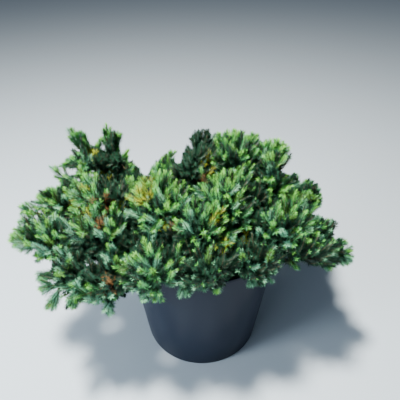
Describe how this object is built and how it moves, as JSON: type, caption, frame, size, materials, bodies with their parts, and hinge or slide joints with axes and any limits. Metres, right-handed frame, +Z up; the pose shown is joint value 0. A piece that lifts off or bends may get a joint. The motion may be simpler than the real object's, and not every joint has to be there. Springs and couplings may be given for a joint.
{
  "type": "potted conifer",
  "caption": "Low spreading conifer with short awl-shaped needles on arching boughs, growing in a plain tapered dark plastic nursery pot.",
  "frame": {"origin": "centre of the pot's flat underside", "axes": "+Z up along the pot's axis, -Y to the front as pictured, +X to the right along the crown's widest spread"},
  "size_m": [0.47, 0.3721, 0.3409],
  "materials": {
    "pot_plastic": "satin, blow-moulded",
    "potting_mix": "loose and damp",
    "bark": "flaking bark",
    "needles_fresh": "new needles, waxy",
    "needles_green": "grown needles, waxy",
    "needles_shade": "inner needles, waxy"
  },
  "bodies": {
    "root": {"bough_back": "bark", "bough_back_left": "bark", "bough_back_low": "bark", "bough_back_right": "bark", "bough_crown_back": "bark", "bough_crown_mid": "bark", "bough_dome": "bark", "bough_dome_right": "bark", "bough_far_right": "bark", "bough_front": "bark", "bough_front_heart": "bark", "bough_front_left": "bark", "bough_front_mid": "bark", "bough_front_right": "bark", "bough_inner_spire": "bark", "bough_left": "bark", "bough_left_front": "bark", "bough_left_heart": "bark", "bough_left_low": "bark", "bough_left_spire": "bark", "bough_mid_front": "bark", "bough_mid_left": "bark", "bough_mid_right": "bark", "bough_right_back": "bark", "bough_right_front": "bark", "bough_right_heart": "bark", "bough_right_low": "bark", "bough_shoulder": "bark", "foliage_back": "needles_green", "foliage_back_left": "needles_shade", "foliage_back_low": "needles_shade", "foliage_back_right": "needles_green", "foliage_crown_back": "needles_shade", "foliage_crown_heart": "needles_shade", "foliage_crown_mid": "needles_shade", "foliage_dome": "needles_fresh", "foliage_dome_right": "needles_fresh", "foliage_far_right": "needles_fresh", "foliage_front": "needles_green", "foliage_front_heart": "needles_shade", "foliage_front_left": "needles_green", "foliage_front_mid": "needles_green", "foliage_front_right": "needles_green", "foliage_inner_spire": "needles_green", "foliage_left": "needles_fresh", "foliage_left_front": "needles_green", "foliage_left_heart": "needles_shade", "foliage_left_low": "needles_fresh", "foliage_left_spire": "needles_fresh", "foliage_mid_front": "needles_green", "foliage_mid_left": "needles_green", "foliage_mid_right": "needles_green", "foliage_right_back": "needles_green", "foliage_right_front": "needles_green", "foliage_right_heart": "needles_shade", "foliage_right_low": "needles_green", "foliage_shoulder": "needles_fresh", "pot": "pot_plastic", "potting_mix": "potting_mix", "trunk": "bark"}
  },
  "joints": []
}
